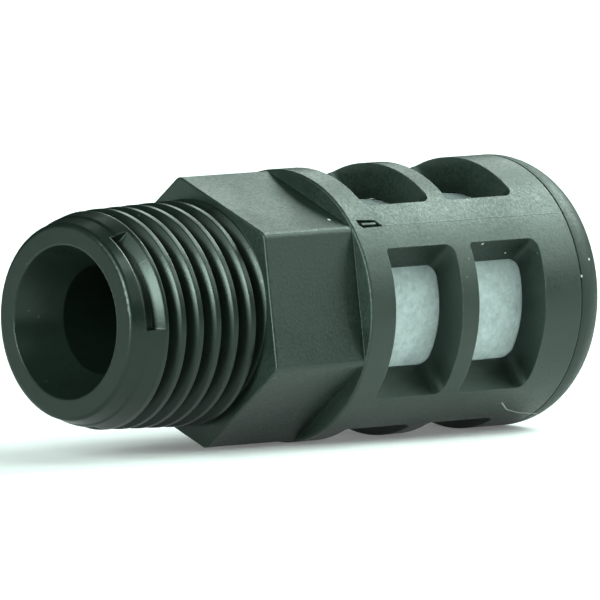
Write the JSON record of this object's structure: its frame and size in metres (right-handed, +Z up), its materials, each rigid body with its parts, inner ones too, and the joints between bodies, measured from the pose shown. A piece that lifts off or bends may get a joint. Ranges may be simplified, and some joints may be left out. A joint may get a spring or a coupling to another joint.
{
  "type": "pneumatic muffler",
  "caption": "Compact plastic exhaust silencer: taper-threaded inlet, hexagon, and a windowed cylindrical cage around a porous sleeve, closed by a crowned end cap.",
  "frame": {"origin": "centre of the hexagon's thread-side face, on the flow axis", "axes": "+X along the flow axis from the threaded inlet to the end cap, +Z up through a corner of the hexagon"},
  "size_m": [0.0357, 0.0162, 0.0162],
  "materials": {
    "housing_plastic": "moulded dark grey-green, fine matt grain",
    "porous_sleeve": "off-white felted fibre",
    "cap_plastic": "moulded dark grey-green, fine matt grain"
  },
  "bodies": {
    "root": {"housing": "housing_plastic", "element": "porous_sleeve", "end_cap": "cap_plastic"}
  },
  "joints": []
}
